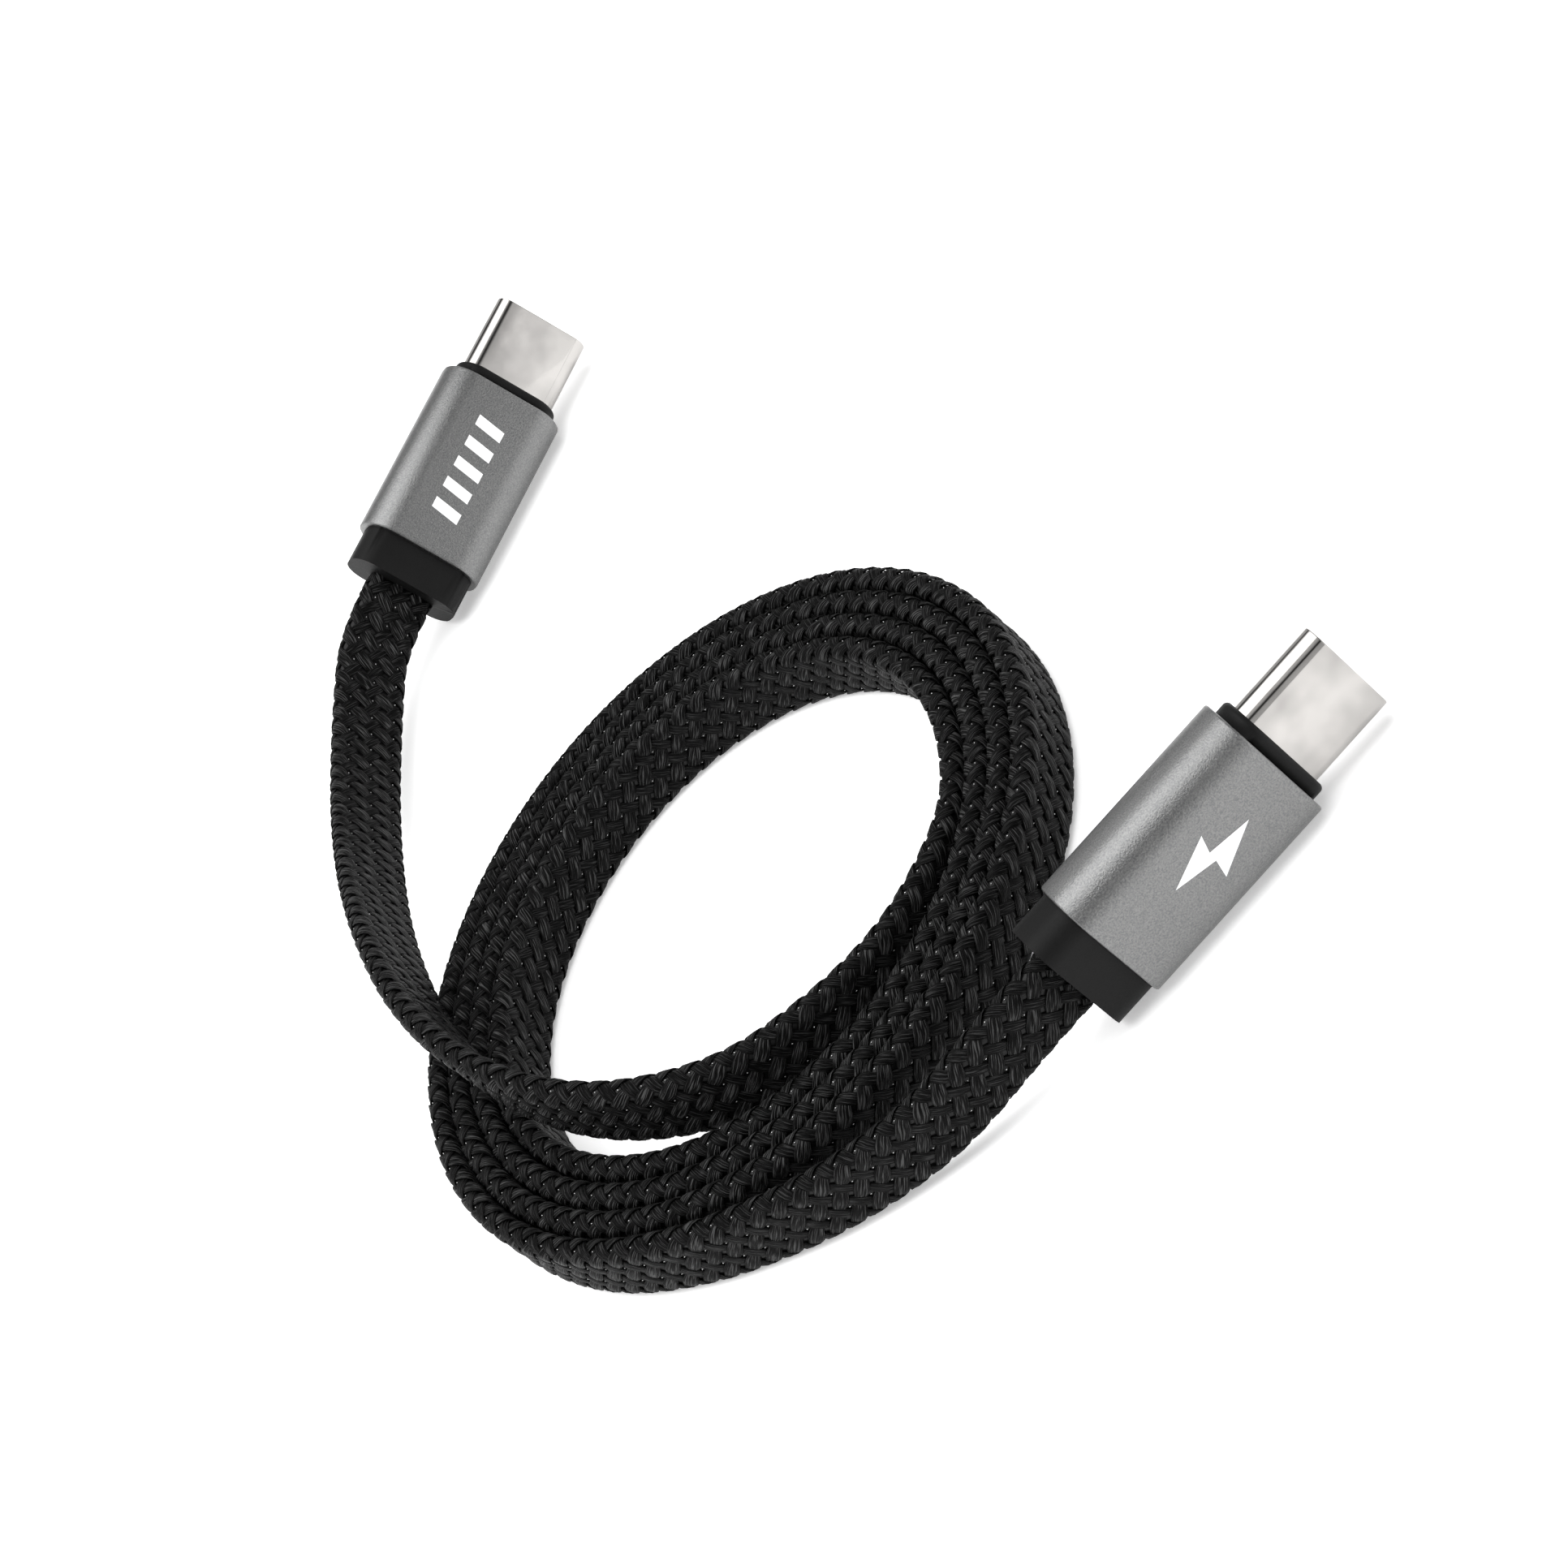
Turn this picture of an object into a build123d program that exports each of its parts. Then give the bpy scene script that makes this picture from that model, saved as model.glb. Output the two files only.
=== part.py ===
from build123d import *
import math
import os

# A flat braided charging cable with a plug at each end, wound into a flat coil that lies on a
# table with the ribbon standing on its edge. +Z is up, the table is z = 0, and the origin is under
# the middle of the whole object. Lengths are in millimetres and angles in degrees.

# ---- ribbon cable ------------------------------------------------------------------------------
CABLE_WIDTH = 5.8          # across the ribbon, which stands upright in the coil
CABLE_THICKNESS = 1.9
CABLE_EDGE_RADIUS = 0.6    # rounding of the ribbon's long edges

# ---- coil --------------------------------------------------------------------------------------
COIL_CENTRE = (-4.3, -17.75)
COIL_START_RADIUS = 27.55  # middle of the outermost layer where lead B leaves it
LAYER_GAP = 0.05           # between one layer and the next
COIL_START_ANGLE = -135.0  # where the outermost layer begins; the winding runs clockwise inwards
COIL_TURNS = 3.75
POINTS_PER_TURN = 24
COIL_PITCH = CABLE_THICKNESS + LAYER_GAP

# ---- leads: (x, y) from the coil's centre, and how far up the climb over the coil each point is --
CROSSING_GAP = 0.8         # between the coil's top and the lead that crosses it
LEAD_A_ROUTE = [
    (8.0, -17.1, 0.02), (2.7, -17.9, 0.10), (-2.6, -17.4, 0.22), (-7.8, -15.8, 0.36),
    (-12.4, -12.8, 0.52), (-16.2, -8.6, 0.72), (-18.8, -3.4, 0.92), (-20.1, 2.4, 1.00),
    (-20.7, 8.8, 1.01), (-20.4, 15.8, 1.00), (-19.2, 23.7, 0.90), (-17.8, 31.8, 0.66),
    (-15.9, 39.5, 0.42), (-13.6, 46.3, 0.24), (-10.7, 52.3, 0.15), (-7.2, 57.4, 0.18)]
LEAD_B_ROUTE = [(-15.6, -23.5, 0.00), (-11.2, -27.1, 0.02), (-6.4, -30.1, 0.06),
                (-1.3, -32.5, 0.14)]
EXIT_RUN = 5.0             # straight stretch of ribbon behind each collar

# ---- plugs: where each collar's rear face is centred, and how the plug points --------------------
PLUG_A_REAR = (1.5, 62.9)
PLUG_A_YAW = 21.8
PLUG_A_ROLL = -25.0
PLUG_B_REAR = (10.5, -34.9)
PLUG_B_YAW = -5.0
PLUG_B_ROLL = 0.0

# ---- connector: built outwards from its contacts --------------------------------------------------
CONTACT_COUNT = 12
CONTACT_PITCH = 0.5
CONTACT_WIDTH = 0.25
CONTACT_THICKNESS = 0.12
CONTACT_SETBACK = 0.9      # from the mouth's rim to a contact's tip
MOUTH_MARGIN = 0.5         # from the outermost contact to the mouth's side
MOUTH_DEPTH = 1.15
MOUTH_LENGTH = 5.5
MOUTH_WALL = 0.395         # insulator over and under the mouth
LATCH_THICKNESS = 0.18
LATCH_HEIGHT = 0.70
LATCH_LENGTH = 5.0
LATCH_HOOK = 0.30          # how far the hook stands into the mouth
LATCH_HOOK_LENGTH = 0.6
LATCH_SETBACK = 1.2
LATCH_SWING = 0.24         # sideways room for the hook's travel
SPRING_THICKNESS = 0.10
SPRING_LENGTH = 1.5
SPRING_WIDTH = 5.6
SPRING_SETBACK = 0.3
SHELL_EXPOSED = 6.65       # in front of the nose cap
SHELL_WALL = 0.18
SHELL_TAIL = 3.4           # behind the sleeve's front face
INSIDE_GAP = 0.05          # all round between fixed parts inside

# ---- plug casing: x runs forwards from the sleeve's front face, z across, y through -------------
NOSE_LENGTH = 1.05
NOSE_RIM_SIDE = 0.45       # cap beside the shell
NOSE_RIM_FACE = 1.05       # cap over and under the shell
NOSE_CORNER = 2.1
NOSE_SPIGOT = 1.6
SLEEVE_LENGTH = 15.5
SLEEVE_LIP_SIDE = 0.775    # from the cap's side out to the sleeve's side
SLEEVE_LIP_FACE = 0.625
SLEEVE_CORNER = 2.6
SLEEVE_WALL = 0.7
SLEEVE_EDGE = 0.18
COLLAR_LENGTH = 3.15
COLLAR_STEP_SIDE = 0.55    # from the sleeve's side in to the collar's side
COLLAR_STEP_FACE = 0.475
COLLAR_CORNER = 1.9
COLLAR_SPIGOT = 2.2        # how far the collar reaches into the sleeve
FIT_GAP = 0.04             # all round between parts that slide together

# ---- inside the sleeve -------------------------------------------------------------------------
BOARD_LENGTH = 7.0
BOARD_MARGIN = 0.425       # from the outermost contact to the board's side
BOARD_THICKNESS = 0.7
BOARD_START = 2.2          # front edge, behind the sleeve's front face
CHIP_SIZE = (2.0, 2.0, 0.5)
CAPACITOR_SIZE = (0.6, 1.0, 0.4)
CAPACITOR_SPACING = 1.6
CAN_WALL = 0.15
CAN_GAP_SIDE = 0.2         # between the can and the sleeve
CAN_GAP_FACE = 0.325
CAN_CORNER = 1.2
CRIMP_LENGTH = 2.4
CRIMP_WALL = 0.3
CONDUCTOR_COUNT = 6
CONDUCTOR_RADIUS = 0.33
CONDUCTOR_PITCH = 0.75

# ---- sizes that follow -------------------------------------------------------------------------
ROW_WIDTH = (CONTACT_COUNT - 1) * CONTACT_PITCH + CONTACT_WIDTH
MOUTH_WIDTH = ROW_WIDTH + 2 * MOUTH_MARGIN
LATCH_ROOM = LATCH_THICKNESS + LATCH_SWING + 2 * INSIDE_GAP
INSULATOR_WIDTH = MOUTH_WIDTH + 2 * LATCH_ROOM
INSULATOR_DEPTH = MOUTH_DEPTH + 2 * MOUTH_WALL
SHELL_WIDTH = INSULATOR_WIDTH + 2 * INSIDE_GAP + 2 * SHELL_WALL
SHELL_DEPTH = INSULATOR_DEPTH + 2 * INSIDE_GAP + 2 * SHELL_WALL
SHELL_FRONT = NOSE_LENGTH + SHELL_EXPOSED
INSULATOR_FRONT = SHELL_FRONT - 0.1
CONTACT_FACE = MOUTH_DEPTH / 2      # the contacts lie in the mouth's upper and lower faces
NOSE_WIDTH = SHELL_WIDTH + 2 * NOSE_RIM_SIDE
NOSE_DEPTH = SHELL_DEPTH + 2 * NOSE_RIM_FACE
SLEEVE_WIDTH = NOSE_WIDTH + 2 * SLEEVE_LIP_SIDE
SLEEVE_DEPTH = NOSE_DEPTH + 2 * SLEEVE_LIP_FACE
BORE_WIDTH = SLEEVE_WIDTH - 2 * SLEEVE_WALL
BORE_DEPTH = SLEEVE_DEPTH - 2 * SLEEVE_WALL
COLLAR_WIDTH = SLEEVE_WIDTH - 2 * COLLAR_STEP_SIDE
COLLAR_DEPTH = SLEEVE_DEPTH - 2 * COLLAR_STEP_FACE
BOARD_WIDTH = ROW_WIDTH + 2 * BOARD_MARGIN
CAN_WIDTH = BORE_WIDTH - 2 * CAN_GAP_SIDE
CAN_DEPTH = BORE_DEPTH - 2 * CAN_GAP_FACE
PLUG_REAR = -(SLEEVE_LENGTH + COLLAR_LENGTH)
RIM_LIFT = CABLE_WIDTH + CROSSING_GAP


def bar(x_low, x_high, width, depth, corner, y=0.0, z=0.0):
    """A solid with a rounded rectangular section, lying along x."""
    limit = min(width, depth) / 2 - 0.001
    with BuildPart() as part:
        with BuildSketch(Plane.YZ.offset(x_low)):
            with Locations((y, z)):
                RectangleRounded(depth, width, min(corner, limit))
        extrude(amount=x_high - x_low)
    return part.part


def block(x_low, x_high, y_low, y_high, z_low, z_high):
    size = (x_high - x_low, y_high - y_low, z_high - z_low)
    middle = ((x_low + x_high) / 2, (y_low + y_high) / 2, (z_low + z_high) / 2)
    return Pos(*middle) * Box(*size)


def sleeve():
    """Drawn metal sleeve, open at both ends, with softened end edges."""
    body = bar(-SLEEVE_LENGTH, 0, SLEEVE_WIDTH, SLEEVE_DEPTH, SLEEVE_CORNER)
    ends = [edge for edge in body.edges() if edge.bounding_box().size.X < 0.01]
    body = chamfer(ends, SLEEVE_EDGE)
    bore = bar(-SLEEVE_LENGTH - 1, 1, BORE_WIDTH, BORE_DEPTH, SLEEVE_CORNER - SLEEVE_WALL)
    return body - bore


def sleeve_spigot(x_low, x_high):
    """The stretch of a cap that fits inside the sleeve."""
    return bar(x_low, x_high, BORE_WIDTH - 2 * FIT_GAP, BORE_DEPTH - 2 * FIT_GAP,
               SLEEVE_CORNER - SLEEVE_WALL - FIT_GAP)


def shell_hole(x_low, x_high):
    width = SHELL_WIDTH + 2 * FIT_GAP
    depth = SHELL_DEPTH + 2 * FIT_GAP
    return bar(x_low, x_high, width, depth, depth / 2)


def nose_cap():
    """Black ring at the sleeve's mouth that holds the connector shell."""
    rim = bar(0, NOSE_LENGTH, NOSE_WIDTH, NOSE_DEPTH, NOSE_CORNER)
    front = [edge for edge in rim.edges() if edge.bounding_box().min.X > NOSE_LENGTH - 0.01]
    rim = fillet(front, NOSE_LENGTH * 0.35)
    return rim + sleeve_spigot(-NOSE_SPIGOT, 0) - shell_hole(-NOSE_SPIGOT - 1, NOSE_LENGTH + 1)


def rear_collar():
    """Black collar that closes the sleeve and grips the ribbon."""
    body = bar(PLUG_REAR, -SLEEVE_LENGTH, COLLAR_WIDTH, COLLAR_DEPTH, COLLAR_CORNER)
    body += sleeve_spigot(-SLEEVE_LENGTH, -SLEEVE_LENGTH + COLLAR_SPIGOT)
    passage = bar(PLUG_REAR + 1.2, -SLEEVE_LENGTH + COLLAR_SPIGOT + 1,
                  crimp_width() + 2 * FIT_GAP, crimp_depth() + 2 * FIT_GAP, crimp_depth() / 2)
    slot = bar(PLUG_REAR - 1, -SLEEVE_LENGTH, CONDUCTOR_COUNT * CONDUCTOR_PITCH + INSIDE_GAP,
               2 * CONDUCTOR_RADIUS + 2 * INSIDE_GAP, CONDUCTOR_RADIUS)
    return body - passage - slot


def crimp_width():
    return CABLE_WIDTH + 2 * CRIMP_WALL


def crimp_depth():
    return CABLE_THICKNESS + 2 * CRIMP_WALL


def crimp_ring():
    """Metal ferrule round the cable's shield, seated in the collar."""
    x_low = PLUG_REAR + 1.3
    ring = bar(x_low, x_low + CRIMP_LENGTH, crimp_width(), crimp_depth(), crimp_depth() / 2)
    hole_depth = crimp_depth() - 2 * CRIMP_WALL
    return ring - bar(x_low - 1, x_low + CRIMP_LENGTH + 1, crimp_width() - 2 * CRIMP_WALL,
                      hole_depth, hole_depth / 2)


def plug_shell():
    """Bright stadium-section tube that enters the socket."""
    tube = bar(-SHELL_TAIL, SHELL_FRONT, SHELL_WIDTH, SHELL_DEPTH, SHELL_DEPTH / 2)
    front = [edge for edge in tube.edges() if edge.bounding_box().min.X > SHELL_FRONT - 0.01]
    tube = fillet(front, SHELL_WALL * 0.45)
    inner = SHELL_DEPTH - 2 * SHELL_WALL
    return tube - bar(-SHELL_TAIL - 1, SHELL_FRONT + 1, SHELL_WIDTH - 2 * SHELL_WALL,
                      inner, inner / 2)


def contact_places():
    first = -(CONTACT_COUNT - 1) * CONTACT_PITCH / 2
    return [first + i * CONTACT_PITCH for i in range(CONTACT_COUNT)]


def contact_row(side):
    """One row of spring contacts, from the mouth back to the board's pads."""
    front = INSULATOR_FRONT - CONTACT_SETBACK
    rear = -(BOARD_START + 1.4)
    pad = BOARD_THICKNESS / 2
    half = CONTACT_WIDTH / 2
    row = []
    for z in contact_places():
        low, high = sorted((side * CONTACT_FACE, side * (CONTACT_FACE - CONTACT_THICKNESS)))
        beam = block(-BOARD_START + 0.3, front, low, high, z - half, z + half)
        low, high = sorted((side * pad, side * (pad + CONTACT_THICKNESS)))
        tail = block(rear, -BOARD_START + 0.4, low, high, z - half, z + half)
        low, high = sorted((side * pad, side * CONTACT_FACE))
        step = block(-BOARD_START + 0.3, -BOARD_START + 0.4, low, high, z - half, z + half)
        row.append(beam + tail + step)
    return Compound(children=row)


def latch(side):
    """Side spring whose hook holds the plug in its socket."""
    front = INSULATOR_FRONT - LATCH_SETBACK
    inner = MOUTH_WIDTH / 2 + INSIDE_GAP
    half = LATCH_HEIGHT / 2
    low, high = sorted((side * inner, side * (inner + LATCH_THICKNESS)))
    arm = block(front - LATCH_LENGTH, front, -half, half, low, high)
    low, high = sorted((side * (inner - LATCH_HOOK), side * inner))
    hook = block(front - LATCH_HOOK_LENGTH, front, -half, half, low, high)
    return arm + hook


def insulator():
    """Black moulded body inside the shell, with the mouth, latch pockets and contact grooves."""
    body = bar(-BOARD_START + 0.5, INSULATOR_FRONT, INSULATOR_WIDTH, INSULATOR_DEPTH,
               INSULATOR_DEPTH / 2)
    mouth_rear = INSULATOR_FRONT - MOUTH_LENGTH
    body -= bar(mouth_rear, INSULATOR_FRONT + 1, MOUTH_WIDTH, MOUTH_DEPTH, 0.25)
    reach = MOUTH_WIDTH / 2 + LATCH_ROOM
    front = INSULATOR_FRONT - LATCH_SETBACK
    half = LATCH_HEIGHT / 2 + INSIDE_GAP
    for side in (-1, 1):
        low, high = sorted((side * (MOUTH_WIDTH / 2 - 0.2), side * reach))
        body -= block(front - LATCH_LENGTH - INSIDE_GAP, front + INSIDE_GAP, -half, half, low, high)
    half = CONTACT_WIDTH / 2 + INSIDE_GAP
    outer = CONTACT_FACE + INSIDE_GAP
    for z in contact_places():
        for side in (-1, 1):
            low, high = sorted((side * outer, side * (outer - CONTACT_THICKNESS - 2 * INSIDE_GAP)))
            body -= block(-BOARD_START, INSULATOR_FRONT - CONTACT_SETBACK + INSIDE_GAP,
                          low, high, z - half, z + half)
    seat = INSULATOR_DEPTH / 2 - SPRING_THICKNESS - INSIDE_GAP
    x_high = INSULATOR_FRONT - SPRING_SETBACK + INSIDE_GAP
    x_low = x_high - SPRING_LENGTH - 2 * INSIDE_GAP
    half_width = SPRING_WIDTH / 2 + INSIDE_GAP
    for side in (-1, 1):
        low, high = sorted((side * seat, side * SHELL_DEPTH / 2))
        body -= block(x_low, x_high, low, high, -half_width, half_width)
    return body


def ground_spring(side):
    """Thin spring plate between the insulator and the shell that earths the shell."""
    outer = INSULATOR_DEPTH / 2
    low, high = sorted((side * (outer - SPRING_THICKNESS), side * outer))
    x_high = INSULATOR_FRONT - SPRING_SETBACK
    half = SPRING_WIDTH / 2
    return block(x_high - SPRING_LENGTH, x_high, low, high, -half, half)


def circuit_board():
    half_width = BOARD_WIDTH / 2
    half = BOARD_THICKNESS / 2
    return block(-BOARD_START - BOARD_LENGTH, -BOARD_START, -half, half, -half_width, half_width)


def marker_chip():
    length, width, height = CHIP_SIZE
    x_high = -BOARD_START - 2.6
    face = BOARD_THICKNESS / 2
    return block(x_high - length, x_high, face, face + height, -width / 2, width / 2)


def capacitors():
    length, width, height = CAPACITOR_SIZE
    x_high = -BOARD_START - 3.2
    face = BOARD_THICKNESS / 2
    row = []
    for i in (-1, 0, 1):
        z = i * CAPACITOR_SPACING
        row.append(block(x_high - length, x_high, -face - height, -face, z - width / 2, z + width / 2))
    return Compound(children=row)


def shield_can():
    """Folded tin can that wraps the board behind the nose cap."""
    x_high = -max(NOSE_SPIGOT, SHELL_TAIL) - INSIDE_GAP
    x_low = -BOARD_START - BOARD_LENGTH - 0.6
    can = bar(x_low, x_high, CAN_WIDTH, CAN_DEPTH, CAN_CORNER)
    return can - bar(x_low - 1, x_high + 1, CAN_WIDTH - 2 * CAN_WALL, CAN_DEPTH - 2 * CAN_WALL,
                     CAN_CORNER - CAN_WALL)


def conductors():
    """Insulated wires from the ribbon's end to the board's rear pads."""
    first = -(CONDUCTOR_COUNT - 1) * CONDUCTOR_PITCH / 2
    board_rear = -BOARD_START - BOARD_LENGTH
    wires = []
    for i in range(CONDUCTOR_COUNT):
        wires.append(bar(PLUG_REAR + INSIDE_GAP, board_rear - INSIDE_GAP, 2 * CONDUCTOR_RADIUS,
                         2 * CONDUCTOR_RADIUS, CONDUCTOR_RADIUS, z=first + i * CONDUCTOR_PITCH))
    return Compound(children=wires)


def plug_pieces():
    return {
        "housing_sleeve": sleeve(),
        "nose_cap": nose_cap(),
        "rear_collar": rear_collar(),
        "plug_shell": plug_shell(),
        "insulator": insulator(),
        "contacts_upper": contact_row(1),
        "contacts_lower": contact_row(-1),
        "latch_left": latch(1),
        "latch_right": latch(-1),
        "ground_spring_upper": ground_spring(1),
        "ground_spring_lower": ground_spring(-1),
        "circuit_board": circuit_board(),
        "marker_chip": marker_chip(),
        "capacitors": capacitors(),
        "shield_can": shield_can(),
        "crimp_ring": crimp_ring(),
        "conductors": conductors(),
    }


def axis_height(roll):
    """Height of a plug's axis when its sleeve lies on the table at this roll."""
    tilt = math.radians(abs(roll))
    corner = min(SLEEVE_CORNER, SLEEVE_DEPTH / 2)
    flat_width = SLEEVE_WIDTH / 2 - corner
    flat_depth = SLEEVE_DEPTH / 2 - corner
    return flat_width * math.cos(tilt) + flat_depth * math.sin(tilt) + corner


def plug_plane(rear, yaw, roll):
    """The plug's own frame: x along its axis to the tip, z across its width."""
    turn = math.radians(yaw)
    tilt = math.radians(roll)
    x, y, z = rear_point(rear, roll)
    reach = -PLUG_REAR
    origin = (x + reach * math.cos(turn), y + reach * math.sin(turn), z)
    across = (math.sin(turn) * math.sin(tilt), -math.cos(turn) * math.sin(tilt), math.cos(tilt))
    return Plane(origin=origin, x_dir=(math.cos(turn), math.sin(turn), 0), z_dir=across)


def rear_point(rear, roll):
    return (COIL_CENTRE[0] + rear[0], COIL_CENTRE[1] + rear[1], axis_height(roll))


def exit_points(rear, yaw, roll):
    """The last straight stretch of a lead, in line with its plug."""
    turn = math.radians(yaw)
    x, y, z = rear_point(rear, roll)
    behind = (x - EXIT_RUN * math.cos(turn), y - EXIT_RUN * math.sin(turn), z)
    return [behind, (x, y, z)]


def spiral_point(turns, offset=0.0):
    """A point on the winding this many turns in from its start, in the coil's own plane."""
    radius = COIL_START_RADIUS - COIL_PITCH * turns + offset
    angle = math.radians(COIL_START_ANGLE - 360 * turns)
    return (COIL_CENTRE[0] + radius * math.cos(angle), COIL_CENTRE[1] + radius * math.sin(angle))


def spiral_face(first_turn, offset):
    """One turn of the winding's surface, closed by a step across one layer."""
    turns = [first_turn + i / POINTS_PER_TURN for i in range(POINTS_PER_TURN + 1)]
    points = [spiral_point(turn, offset) for turn in turns]
    curve = Spline(*points)
    return make_face([curve, Line(points[-1], points[0])])


def cable_coil():
    """Outer shape of all the layers together, standing on the table."""
    outside = spiral_face(0, CABLE_THICKNESS / 2)
    inside = spiral_face(COIL_TURNS - 1, -CABLE_THICKNESS / 2)
    return extrude(outside - inside, amount=CABLE_WIDTH)


def route_points(route):
    return [(COIL_CENTRE[0] + x, COIL_CENTRE[1] + y, CABLE_WIDTH / 2 + rise * RIM_LIFT)
            for x, y, rise in route]


def turn_between(before, corner, after):
    first = Vector(*corner) - Vector(*before)
    second = Vector(*after) - Vector(*corner)
    return first.length, second.length, first.get_angle(second)


def cable_lead(name, points):
    """A flat ribbon swept along straight runs joined by tangent arcs, always on its edge."""
    radii = []
    for before, corner, after in zip(points, points[1:], points[2:]):
        run_in, run_out, turn = turn_between(before, corner, after)
        radii.append(0.45 * min(run_in, run_out) / math.tan(math.radians(turn / 2)))
    path = FilletPolyline(*points, radius=radii)
    start = path @ 0
    heading = path % 0
    section_plane = Plane(origin=start, x_dir=Vector(0, 0, 1).cross(heading), z_dir=heading)
    section = section_plane * RectangleRounded(CABLE_THICKNESS, CABLE_WIDTH, CABLE_EDGE_RADIUS)
    lead = sweep(section, path=path)
    area = section.area
    print(f"{name}: length {path.length:.1f}, radii {[round(r, 1) for r in radii]}")
    print(f"{name}: volume {lead.volume:.1f}, section times length {area * path.length:.1f}")
    return lead


def cable_pieces():
    half = CABLE_WIDTH / 2
    lead_a = [(*spiral_point(COIL_TURNS), half)] + route_points(LEAD_A_ROUTE)
    lead_a += exit_points(PLUG_A_REAR, PLUG_A_YAW, PLUG_A_ROLL)
    lead_b = [(*spiral_point(0), half)] + route_points(LEAD_B_ROUTE)
    lead_b += exit_points(PLUG_B_REAR, PLUG_B_YAW, PLUG_B_ROLL)
    return {
        "cable_coil": cable_coil(),
        "cable_lead_a": cable_lead("cable_lead_a", lead_a),
        "cable_lead_b": cable_lead("cable_lead_b", lead_b),
    }


def main():
    os.makedirs("parts", exist_ok=True)
    pieces = cable_pieces()
    ends = {"a": plug_plane(PLUG_A_REAR, PLUG_A_YAW, PLUG_A_ROLL),
            "b": plug_plane(PLUG_B_REAR, PLUG_B_YAW, PLUG_B_ROLL)}
    for end, plane in ends.items():
        for name, piece in plug_pieces().items():
            pieces[f"{name}_{end}"] = piece.moved(plane.location)
    for name, piece in pieces.items():
        export_step(piece, f"parts/{name}.step")


main()
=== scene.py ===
import math

import bmesh
import bpy
import numpy as np
from mathutils import Matrix, Vector


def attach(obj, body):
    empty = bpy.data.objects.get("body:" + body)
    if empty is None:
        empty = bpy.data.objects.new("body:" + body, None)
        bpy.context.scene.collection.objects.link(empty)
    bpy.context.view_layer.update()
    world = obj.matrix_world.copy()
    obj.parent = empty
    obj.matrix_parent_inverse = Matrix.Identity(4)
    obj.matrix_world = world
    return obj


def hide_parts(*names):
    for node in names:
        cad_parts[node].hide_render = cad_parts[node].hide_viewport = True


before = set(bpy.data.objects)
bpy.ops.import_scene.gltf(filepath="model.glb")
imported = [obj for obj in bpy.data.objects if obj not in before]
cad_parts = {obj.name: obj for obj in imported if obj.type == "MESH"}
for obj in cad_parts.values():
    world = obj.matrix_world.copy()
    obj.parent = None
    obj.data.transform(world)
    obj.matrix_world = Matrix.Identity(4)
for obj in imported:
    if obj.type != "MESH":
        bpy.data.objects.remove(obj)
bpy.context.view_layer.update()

# A flat braided charging cable wound into a flat coil on a table, with a plug at each end.
# Sizes in the lists below are in millimetres and are turned into metres by MM.

MM = 0.001
ROOT = "cable"
CASING_SLOTS = {"housing_sleeve": "sleeve_metal", "nose_cap": "black_plastic",
                "rear_collar": "black_plastic", "plug_shell": "shell_steel"}

RIBBON_WIDTH = 5.8
RIBBON_THICKNESS = 1.9
COIL_CENTRE = (-4.3, -17.75)
COIL_START_RADIUS = 27.55
COIL_PITCH = 1.95
COIL_START_ANGLE = -135.0
COIL_TURNS = 3.75
POINTS_PER_TURN = 24
SPLINE_CUT = 0.9915        # the smooth line runs this much inside its coil points
LOOSE_ANGLE = -125.0       # where the layers lie loosest
LOOSE_SPREAD = 75.0
LOOSE_GAP = 0.22           # extra room between one layer and the next there
# A route's points are (x, y, rise): x and y from the coil's centre, rise as a share of RIM_LIFT.
RIM_LIFT = 6.6
LEAD_A_ROUTE = [
    (8.0, -17.1, 0.02), (2.7, -17.9, 0.10), (-2.6, -17.4, 0.22), (-7.8, -15.8, 0.32),
    (-12.4, -12.8, 0.52), (-16.2, -8.6, 0.72), (-18.8, -3.4, 0.92), (-20.1, 2.4, 1.00),
    (-20.7, 8.8, 1.01), (-20.4, 15.8, 1.00), (-19.2, 23.7, 0.90), (-17.8, 31.8, 0.66),
    (-15.9, 39.5, 0.42), (-13.6, 46.3, 0.24), (-10.7, 52.3, 0.15), (-7.2, 57.4, 0.18)]
# How far lead A leans over, in degrees, at these distances from its plug's collar.
LEAN_DISTANCES = (0, 12, 26, 42, 58, 74, 92, 112, 135)
LEAN_ANGLES = (25, 31, 23.5, 10.5, 3, -2.5, -7, -6, 0)
LEAD_B_ROUTE = [(-15.6, -23.5, 0.00), (-11.2, -27.1, 0.02), (-6.4, -30.1, 0.06),
                (-1.3, -32.5, 0.14)]
EXIT_RUN = 5.0             # straight run out of a collar
LINE_SPACING = 0.2         # between one point and the next on the traced line

SLEEVE_LENGTH = 15.5
SLEEVE_DEPTH = 5.75
SLEEVE_WIDTH = 10.7
SLEEVE_CORNER = 2.6
SLEEVE_WALL = 0.7
SLEEVE_EDGE = 0.18
SHARP_ANGLE = math.radians(32)   # a casing edge turning more than this stays sharp
PLUG_REAR = 18.65          # from the sleeve's front to the collar's back
PLUG_A = {"origin": (14.516, 52.076, 5.209), "yaw": 21.8, "roll": -25.0}
PLUG_B = {"origin": (24.779, -54.275, 5.35), "yaw": -5.0, "roll": 0.0}
PLUGS = {"a": PLUG_A, "b": PLUG_B}

# Marks on the sleeves, as (along, across) from the sleeve's front and its middle line. A bar's
# corners are counted from where that bar starts.
MARK_LIFT = 0.004
MARK_HEIGHT = 0.012
BAR_STARTS = (-12.4, -10.4, -8.4, -6.4, -4.4)
BAR_OUTLINE = ((0, -1.25), (0.95, -1.25), (1.35, 1.25), (0.4, 1.25))
BOLT_OUTLINE = [(-9.9, 0.45), (-6.3, 1.85), (-6.75, 0.45), (-3.6, -0.1), (-7.2, -1.85),
                (-6.85, -0.35)]

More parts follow.
